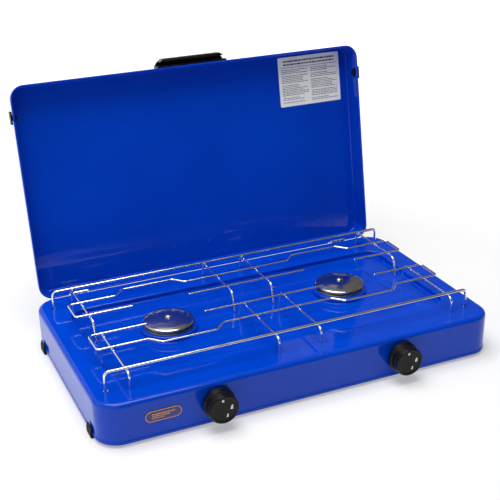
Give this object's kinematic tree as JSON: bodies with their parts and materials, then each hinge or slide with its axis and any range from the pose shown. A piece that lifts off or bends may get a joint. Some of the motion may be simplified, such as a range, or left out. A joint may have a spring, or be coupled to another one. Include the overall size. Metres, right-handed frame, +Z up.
{
  "type": "camping stove",
  "caption": "Portable gas camping stove: blue enamelled case, hinged lid that opens upright at the rear, wire pan supports, round burners and black control knobs on the front.",
  "frame": {"origin": "middle of the whole stove's box, lid open, on the surface it stands on", "axes": "+X to the right seen from the front, +Y to the rear where the lid is hinged, +Z up; the knobs face -Y"},
  "size_m": [0.571, 0.4306, 0.3665],
  "materials": {
    "blue_enamel": "gloss",
    "chromed_wire": "polished",
    "polished_steel": "polished",
    "plain_steel": "satin",
    "brass": "satin",
    "black_plastic": "semi-gloss",
    "black_rubber": "matte",
    "label": "matte",
    "badge": "gloss"
  },
  "bodies": {
    "stove": {"body_shell": "blue_enamel", "foot_front_left": "black_rubber", "foot_front_right": "black_rubber", "foot_rear_left": "black_rubber", "foot_rear_right": "black_rubber", "badge_plate": "badge", "gas_manifold": "brass", "inlet_nut": "brass", "hose_nozzle": "brass", "hinge_pin_left": "chromed_wire", "hinge_pin_right": "chromed_wire", "hinge_leaf_body_left": "plain_steel", "hinge_leaf_body_right": "plain_steel", "burner_cup_left": "plain_steel", "burner_ring_left": "plain_steel", "burner_cap_left": "polished_steel", "burner_rivet_left": "polished_steel", "tap_body_left": "brass", "injector_left": "brass", "mixing_tube_left": "plain_steel", "burner_cup_right": "plain_steel", "burner_ring_right": "plain_steel", "burner_cap_right": "polished_steel", "burner_rivet_right": "polished_steel", "tap_body_right": "brass", "injector_right": "brass", "mixing_tube_right": "plain_steel"},
    "lid": {"lid_shell": "blue_enamel", "lid_handle": "black_plastic", "lid_clip_left": "black_plastic", "lid_clip_right": "black_plastic", "label_plate": "label", "hinge_leaf_lid_left": "plain_steel", "hinge_leaf_lid_right": "plain_steel"},
    "support_rear": {"rear_rail": "chromed_wire", "rear_long_wire": "chromed_wire", "rear_centre_wire": "chromed_wire", "rear_cross_1": "chromed_wire", "rear_cross_2": "chromed_wire", "rear_cross_3": "chromed_wire", "rear_cross_4": "chromed_wire"},
    "support_front": {"front_rail": "chromed_wire", "front_long_wire": "chromed_wire", "front_centre_wire": "chromed_wire", "front_cross_1": "chromed_wire", "front_cross_2": "chromed_wire", "front_cross_3": "chromed_wire", "front_cross_4": "chromed_wire"},
    "press_left": {"tap_collar_left": "plain_steel"},
    "control_left": {"knob_left": "black_plastic", "spindle_left": "brass"},
    "press_right": {"tap_collar_right": "plain_steel"},
    "control_right": {"knob_right": "black_plastic", "spindle_right": "brass"}
  },
  "joints": [
    {"name": "lid_hinge", "type": "hinge", "parent": "stove", "child": "lid", "pos_m": [0, 0.13085, 0.0585], "axis": [-1, 0, 0], "range_deg": [-100.2, 0]},
    {"name": "support_rear_lift", "type": "slide", "parent": "stove", "child": "support_rear", "axis": [0, 0, 1], "range_m": [0, 0.06]},
    {"name": "support_front_lift", "type": "slide", "parent": "stove", "child": "support_front", "axis": [0, 0, 1], "range_m": [0, 0.06]},
    {"name": "tap_left_push", "type": "slide", "parent": "stove", "child": "press_left", "axis": [0, 1, 0], "range_m": [0, 0.003], "stiffness_N_per_m": 600},
    {"name": "knob_left_turn", "type": "hinge", "parent": "press_left", "child": "control_left", "pos_m": [-0.1317, -0.20165, 0.0334], "axis": [0, -1, 0], "range_deg": [0, 160]},
    {"name": "tap_right_push", "type": "slide", "parent": "stove", "child": "press_right", "axis": [0, 1, 0], "range_m": [0, 0.003], "stiffness_N_per_m": 600},
    {"name": "knob_right_turn", "type": "hinge", "parent": "press_right", "child": "control_right", "pos_m": [0.1317, -0.20165, 0.0334], "axis": [0, -1, 0], "range_deg": [0, 160]}
  ]
}
